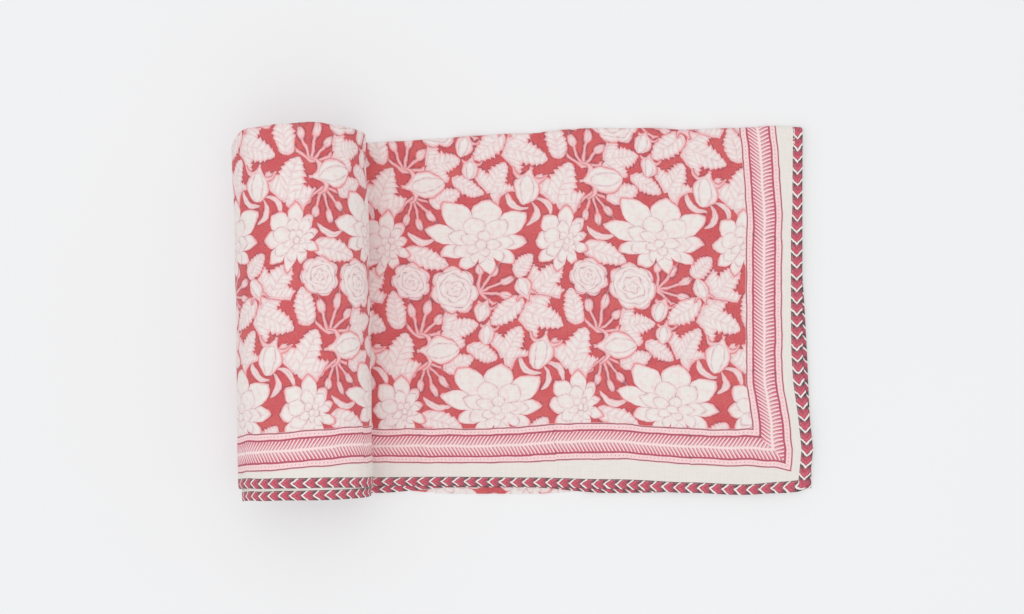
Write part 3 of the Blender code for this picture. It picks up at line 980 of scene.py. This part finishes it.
def drawn_motif(node, own, kind, size, kinds):
    """The motif of that kind: how far inside it a point lies, and how near its grey and pink lines are."""
    x, y, _ = node("SeparateXYZ", own).node.outputs
    found = None
    for this in kinds:
        new = (*DRAWN[this](node, x, y, size), NO_STROKE)[:3]
        if found is None:
            found = new
            continue
        chosen = node("Math COMPARE", kind, float(this), 0.4)
        found = [
            old if old == other == NO_STROKE else node("Mix FLOAT", chosen, old, other)
            for old, other in zip(found, new)
        ]
    return found


def floral(node, along, across):
    """The floral field in millimetres: how far inside a motif a point lies, and how near its grey and pink
    lines are."""
    y = node("Math ADD", across, -REPEAT_AT_ACROSS)
    x = node("Math MULTIPLY_ADD", y, REPEAT_LEAN, node("Math SUBTRACT", REPEAT_AT_ALONG, along))
    at = shaken(node, node("CombineXYZ", x, y, 0.0), 4.6, Scale=0.055, Detail=2.0, Roughness=0.6)
    own, kind, size, clear = pick_motif(node, at, FLOWERS)
    flower, flower_line, stroke = drawn_motif(node, own, kind, size, (BLOOM, ROSE, BUD))
    flower = node("Math MINIMUM", flower, clear)
    own, kind, size, clear = pick_motif(node, at, LEAVES)
    leaf, leaf_line, _ = drawn_motif(node, own, kind, size, (LEAF, CLUSTER, SPRIG, CRESCENT))
    leaf = joined(node, "Math MINIMUM", leaf, clear, node("Math SUBTRACT", -FLOWER_GAP, flower))
    on_flower = node("Math GREATER_THAN", flower, leaf)
    line = node("Mix FLOAT", on_flower, leaf_line, flower_line)
    return node("Math MAXIMUM", flower, leaf), line, node("Mix FLOAT", on_flower, NO_STROKE, stroke)


THREAD_RATE = 1.1  # threads in a millimetre
SLUB_RATE = 0.045


def thread_noise(node, flat):
    """Muslin: slubs along both threads. The real threads are 0.35 mm apart, and are drawn about 1 mm apart
    to show."""
    return joined(node, "Math ADD", *(
        node("TexNoise 2D", node("VectorMath MULTIPLY", flat, rates), Scale=1.0, Detail=2.0)
        for rates in ((SLUB_RATE, THREAD_RATE, 0.0), (THREAD_RATE, SLUB_RATE, 0.0))
    ))


def flat_millimetres(node):
    """The place on the flat cloth, in millimetres, from the piece's own UV map."""
    return node("VectorMath MULTIPLY", node("UVMap flat_cloth"), (1 / MM, 1 / MM, 0.0))


# Colours of the print, as the eye sees them
CLOTH_WHITE = "ECE6E2"
MARGIN_WHITE = "E9E3DD"
GROUND_CORAL = "CB4D54"
GROUND_LIGHT = "D0585B"
GROUND_EDGE = "8A3A49"
FRINGE_PINK = "F2AEB2"
LINE_GREY = "B79DA2"
LINE_PINK = "F1CDD1"
BAND_PINK = "F8D3D5"
BORDER_CRIMSON = "B44A63"
EDGE_LINE = "9A5866"
STROKE_PINK = "F0A9B3"
STROKE_ROSE = "DC6F86"
STROKE_GREY = "A38088"
STROKE_CREAM = "F8DEDD"
DOT_GREY = "A0707C"
JOINT_PLUM = "6F4652"

# The border, in millimetres
BLOCK_LENGTH = 142.0  # one print of the block
BLOCK_SLIP = 0.9
BLOCK_START = 0.12  # share of a block
END_BLOCKS = 31.0  # the numbers of the blocks on the ends start here, so that each block has its own slip
STROKE_PITCH = 3.9
STROKE_SLANT = (0.50, 0.70)  # outer half, inner half
STROKES_END = (10.2, 10.8)
BAND_AT = 11.6
DOT_PITCH = 4.1
DOTS_AT = 15.2
STRIPES_REACH = 20.0
STRIPES = (  # from the middle outwards, as shares of STRIPES_REACH
    (0.00, STROKE_CREAM), (0.51, STROKE_CREAM), (0.535, BORDER_CRIMSON), (0.615, BORDER_CRIMSON),
    (0.650, BAND_PINK), (0.880, BAND_PINK), (0.905, EDGE_LINE), (0.945, EDGE_LINE), (0.965, FRINGE_PINK),
)


def border(node, along, across):
    """The border: its colour, how fully it covers a point, and how deep the point lies past its outer line,
    in millimetres."""
    from_end, from_edge = (
        node("Math MINIMUM", way, node("Math SUBTRACT", whole / MM, way))
        for way, whole in ((along, FLAT_LENGTH), (across, FLAT_WIDTH))
    )
    on_end = node("Math LESS_THAN", from_end, from_edge)
    way = node("Math MAXIMUM", from_end, from_edge)
    blocks = node("Math MULTIPLY_ADD", way, 1 / BLOCK_LENGTH, BLOCK_START)
    block = node("Math MULTIPLY_ADD", on_end, END_BLOCKS, node("Math FLOOR", blocks))
    slip = node("Math SUBTRACT", node("TexWhiteNoise 1D", block), 0.5)
    depth = node("Math MULTIPLY_ADD", slip, BLOCK_SLIP, node("Math MINIMUM", from_end, from_edge))
    depth = node("Math ADD", depth, -BORDER_AT)
    middle = away(node, depth, BORDER_HALF)
    bands = node("ValToRGB", node("Math MULTIPLY", middle, 1 / STRIPES_REACH), stops=STRIPES)

    # The herringbone: slanting strokes, pink with a darker side, that meet in the middle
    outer, inner = STROKE_SLANT
    slant = node("Math MULTIPLY_ADD", node("Math GREATER_THAN", depth, BORDER_HALF), inner - outer, outer)
    turned = node("Math MULTIPLY_ADD", on_end, -2.0, 1.0)
    bent = joined(node, "Math MULTIPLY", middle, slant, turned)
    phase = through(node, node("Math ADD", way, bent), STROKE_PITCH)
    pink = node("MapRange", away(node, phase, 0.44), 0.26, 0.38, 0.95, 0.0)
    dark = node("MapRange", away(node, phase, 0.58), 0.08, 0.20, 0.85, 0.0)
    tapered = node("MapRange", middle, 0.8, 2.0, 0.0, 1.0)
    within = node("MapRange", middle, *STROKES_END, 1.0, 0.0)
    side = node("Mix RGBA", node("MapRange", middle, 3.0, 8.0, 0.0, 1.0), STROKE_GREY, BORDER_CRIMSON)
    filled = node("Mix RGBA", node("MapRange", middle, 4.0, 10.0, 0.0, 1.0), STROKE_PINK, STROKE_ROSE)
    strokes = node("Mix RGBA", node("Math MULTIPLY", pink, tapered), STROKE_CREAM, filled)
    strokes = node("Mix RGBA", node("Math MULTIPLY", dark, tapered), strokes, side)
    colour = node("Mix RGBA", within, bands, strokes)

    # The rows of dots in the bands
    dot_x = node("Math SUBTRACT", through(node, way, DOT_PITCH), 0.5)
    dot_x = node("Math MULTIPLY", dot_x, DOT_PITCH)
    dot = distance(node, dot_x, node("Math ADD", middle, -DOTS_AT))
    colour = node("Mix RGBA", node("MapRange", dot, 0.35, 0.90, 0.60, 0.0), colour, DOT_GREY)

    # Where one print of the block meets the next, and at the corner, the dark lines lie twofold
    joint = node("MapRange", away(node, node("Math FRACT", blocks), 0.5), 0.485, 0.495, 0.0, 0.45)
    mitre = node("Math ABSOLUTE", node("Math SUBTRACT", from_end, from_edge))
    mitre = node("MapRange", mitre, 0.5, 1.5, 0.55, 0.0)
    lined = node("MapRange", away(node, middle, BAND_AT), 1.2, 1.8, 1.0, 0.0)
    dark_lines = node("Math MAXIMUM", node("Math MULTIPLY", dark, within), lined)
    joint, mitre = node("Math MULTIPLY", joint, dark_lines), node("Math MULTIPLY", mitre, lined)
    inside = node("MapRange", middle, BORDER_HALF - 0.1, BORDER_HALF + 0.9, 1.0, 0.0)
    twofold = node("Math MULTIPLY", node("Math MAXIMUM", joint, mitre), inside)
    colour = node("Mix RGBA", twofold, colour, JOINT_PLUM)
    return colour, inside, depth


def block_printed_cotton():
    """Hand block-printed mulmul: soft matt cotton with a coral ground and drawn lines that miss their shapes
    a little."""
    material, node, shader = new_material("block_printed_mulmul_cotton")
    flat = flat_millimetres(node)
    moved = shaken(node, flat, 2.2, Scale=0.045, Detail=2.0)
    along, across, _ = node("SeparateXYZ", moved).node.outputs
    inside, line, stroke = floral(node, along, across)
    edge_colour, on_border, depth = border(node, along, across)
    threads = thread_noise(node, flat)
    speck = node("TexNoise 2D", flat, Scale=0.55, Detail=3.0, Roughness=0.7)
    blotch = node("TexNoise 2D", flat, Scale=0.035, Detail=2.0)
    patch = node("TexNoise 2D", flat, Scale=0.16, Detail=2.0)

    # The flowers and leaves: white, pink towards the rim, with pink and grey drawn lines
    fringe = node("MapRange", inside, 0.5, 3.6, 1.0, 0.0)
    tint = node("MapRange", patch, 0.46, 0.70, 0.0, 0.24)
    petals = node("Mix RGBA", node("Math MAXIMUM", fringe, tint), CLOTH_WHITE, FRINGE_PINK)
    beside = node("Math MINIMUM", away(node, line, PINK_BESIDE), stroke)
    petals = node("Mix RGBA", node("MapRange", beside, 0.15, 0.65, 0.85, 0.0), petals, LINE_PINK)
    drawn = node("MapRange", line, 0.15, 0.62, 0.95, 0.0)
    drawn = node("Math MULTIPLY", drawn, node("MapRange", patch, 0.34, 0.62, 0.35, 1.0))
    petals = node("Mix RGBA", drawn, petals, LINE_GREY)

    # The ground: coral, with a dark outline beside the motifs that comes and goes
    blotched = node("MapRange", blotch, 0.35, 0.65, 0.0, 1.0)
    ground = node("Mix RGBA", blotched, GROUND_CORAL, GROUND_LIGHT)
    outline = node("MapRange", inside, -2.5, -0.8, 0.0, 0.90)
    outline = node("Math MULTIPLY", outline, node("MapRange", patch, 0.36, 0.56, 0.0, 1.0))
    ground = node("Mix RGBA", outline, ground, GROUND_EDGE)
    field = node("Mix RGBA", node("MapRange", inside, -0.95, 0.55, 0.0, 1.0), ground, petals)

    past_border = node("Math GREATER_THAN", depth, BORDER_HALF)
    colour = node("Mix RGBA", past_border, MARGIN_WHITE, field)
    colour = node("Mix RGBA", on_border, colour, edge_colour)
    colour = node("Mix RGBA", node("MapRange", speck, 0.30, 0.75, 0.0, 0.11), colour, CLOTH_WHITE)
    shade = node("MapRange", threads, 0.7, 1.3, 0.955, 1.03)
    height = node("Math MULTIPLY_ADD", threads, 0.6, node("Math MULTIPLY", speck, 0.5))
    for name, value in (
        ("Base Color", node("VectorMath SCALE", colour, shade)),
        ("Normal", node("Bump", Strength=0.35, Distance=0.0004, Height=height)),
        ("Roughness", 0.93), ("Specular IOR Level", 0.2), ("Sheen Weight", 0.12), ("Sheen Roughness", 0.5),
    ):
        fill(shader.inputs[name], value)
    return material


# The binding's print, in millimetres
CHEVRON_PITCH = 12.3
CHEVRON_SLOPE = 1.05
CHEVRON_POINT = 6.0  # how far from the folded edge the chevrons point
STITCH_PITCH = 3.2
STITCHES_AT = 10.9
CHEVRON = (  # the colours along one chevron, as shares of CHEVRON_PITCH
    (0.00, "7A3346"), (0.05, "B53C57"), (0.14, "CD3D5A"), (0.32, "CF445F"), (0.41, "9A324C"),
    (0.47, "9A324C"), (0.54, "C83C58"), (0.65, "B43A55"), (0.71, "5F2C3A"), (0.75, "6A3643"),
    (0.80, "F3E6E2"), (0.94, "F5ECE8"), (1.0, "7A3346"),
)
CHEVRON_RIM = "7A2A3E"
TICK_BLACK = "33242B"
WORN_WHITE = "F0E6E4"
STITCH_THREAD = "E9DAD8"


def chevron_cotton():
    """The binding: a printed cotton strip, crimson blocks between white chevrons with near-black ticks at
    both edges."""
    material, node, shader = new_material("chevron_printed_binding_cotton")
    flat = flat_millimetres(node)
    moved = shaken(node, flat, 2.6, Scale=0.14, Detail=3.0, Roughness=0.7)
    along, across, _ = node("SeparateXYZ", moved).node.outputs
    from_edge = node("Math ABSOLUTE", across)
    wing = away(node, from_edge, CHEVRON_POINT)
    phase = through(node, node("Math MULTIPLY_ADD", wing, -CHEVRON_SLOPE, along), CHEVRON_PITCH)
    colour = node("ValToRGB", phase, stops=CHEVRON)
    rim = (node("MapRange", wing, 4.0, 5.2, 0.0, 0.70), node("MapRange", phase, 0.70, 0.76, 1.0, 0.0))
    colour = node("Mix RGBA", joined(node, "Math MULTIPLY", *rim), colour, CHEVRON_RIM)
    tick = (
        node("MapRange", wing, 1.9, 3.2, 0.0, 0.95), node("MapRange", phase, 0.46, 0.56, 0.0, 1.0),
        node("MapRange", phase, 0.74, 0.79, 1.0, 0.0),
    )
    colour = node("Mix RGBA", joined(node, "Math MULTIPLY", *tick), colour, TICK_BLACK)
    speck = node("TexNoise 2D", flat, Scale=0.9, Detail=3.0, Roughness=0.7)
    colour = node("Mix RGBA", node("MapRange", speck, 0.35, 0.75, 0.0, 0.22), colour, WORN_WHITE)

    # The row of stitches beside the seam
    stitch = away(node, through(node, along, STITCH_PITCH), 0.5)
    row = node("MapRange", away(node, from_edge, STITCHES_AT), 0.22, 0.40, 1.0, 0.0)
    stitch = node("Math MULTIPLY", node("MapRange", stitch, 0.30, 0.36, 1.0, 0.0), row)
    colour = node("Mix RGBA", node("Math MULTIPLY", stitch, 0.3), colour, STITCH_THREAD)
    threads = thread_noise(node, flat)
    shade = node("MapRange", threads, 0.7, 1.3, 0.95, 1.04)
    height = node("Math MULTIPLY_ADD", row, -0.8, node("Math MULTIPLY", threads, 0.5))
    height = node("Math ADD", stitch, height)
    for name, value in (
        ("Base Color", node("VectorMath SCALE", colour, shade)),
        ("Normal", node("Bump", Strength=0.4, Distance=0.0005, Height=height)),
        ("Roughness", 0.9), ("Specular IOR Level", 0.25), ("Sheen Weight", 0.1),
    ):
        fill(shader.inputs[name], value)
    return material


def pale_paper():
    """The floor: matt white paper with a faint unevenness. It glows a little, so that shadows on it stay as
    faint as on a brightly lit backdrop."""
    material, node, shader = new_material("matt_white_paper")
    cloud = node("TexNoise", node("TexCoord").node.outputs["Object"], Scale=1.6, Detail=2.0)
    for name, value in (
        ("Base Color", node("Mix RGBA", cloud, "C3C4C5", "C7C8C9")),
        ("Emission Color", "FEFEFF"), ("Emission Strength", 0.32),
        ("Roughness", 0.95), ("Specular IOR Level", 0.1),
    ):
        fill(shader.inputs[name], value)
    return material


# The studio
FLOOR_SIZE = 6.0
FLOOR_HEIGHT = -0.0002  # just below the cloth, so that the two never share a plane
ROOM_LIGHT = 0.785
SOFTBOXES = (  # name, place, width and power
    ("softbox_above", (-0.2, -0.2, 2.7), 2.4, 20.0),
    ("softbox_left", (-2.2, -0.4, 2.0), 1.6, 1.5),
)


def make_studio():
    """A paper floor just under the cloth, an even white room and two softboxes turned to the origin."""
    bpy.ops.object.select_all(action="DESELECT")
    bpy.ops.mesh.primitive_plane_add(size=FLOOR_SIZE, location=(0, 0, FLOOR_HEIGHT))
    floor = bpy.context.object
    floor.name = "studio_floor"
    floor.data.materials.append(pale_paper())
    world = bpy.data.worlds.new("soft_room")
    bpy.context.scene.world = world
    world.use_nodes = True
    world.node_tree.nodes["Background"].inputs["Color"].default_value = (1, 1, 1, 1)
    world.node_tree.nodes["Background"].inputs["Strength"].default_value = ROOM_LIGHT
    for name, place_at, size, power in SOFTBOXES:
        lamp = bpy.data.lights.new(name, "AREA")
        lamp.size = size
        lamp.energy = power
        holder = bpy.data.objects.new(name, lamp)
        bpy.context.scene.collection.objects.link(holder)
        holder.location = place_at
        holder.rotation_euler = Vector(place_at).to_track_quat("Z", "Y").to_euler()
    bpy.context.scene.view_settings.view_transform = "Standard"


CAMERA_AT = (-0.0143, 0.004, 2.400)
FIELD_WIDTH = 1.0752  # how much of the floor the picture takes in
SENSOR_WIDTH = 36.0


def make_camera():
    """The camera, high above the cloth and looking straight down."""
    camera = bpy.data.cameras.new("camera_above")
    camera.sensor_width = SENSOR_WIDTH
    camera.lens = SENSOR_WIDTH * CAMERA_AT[2] / FIELD_WIDTH
    camera.clip_end = 20.0
    holder = bpy.data.objects.new("camera_above", camera)
    bpy.context.scene.collection.objects.link(holder)
    holder.location = CAMERA_AT
    bpy.context.scene.camera = holder


make_camera()
make_dohar(block_printed_cotton(), chevron_cotton())
make_studio()
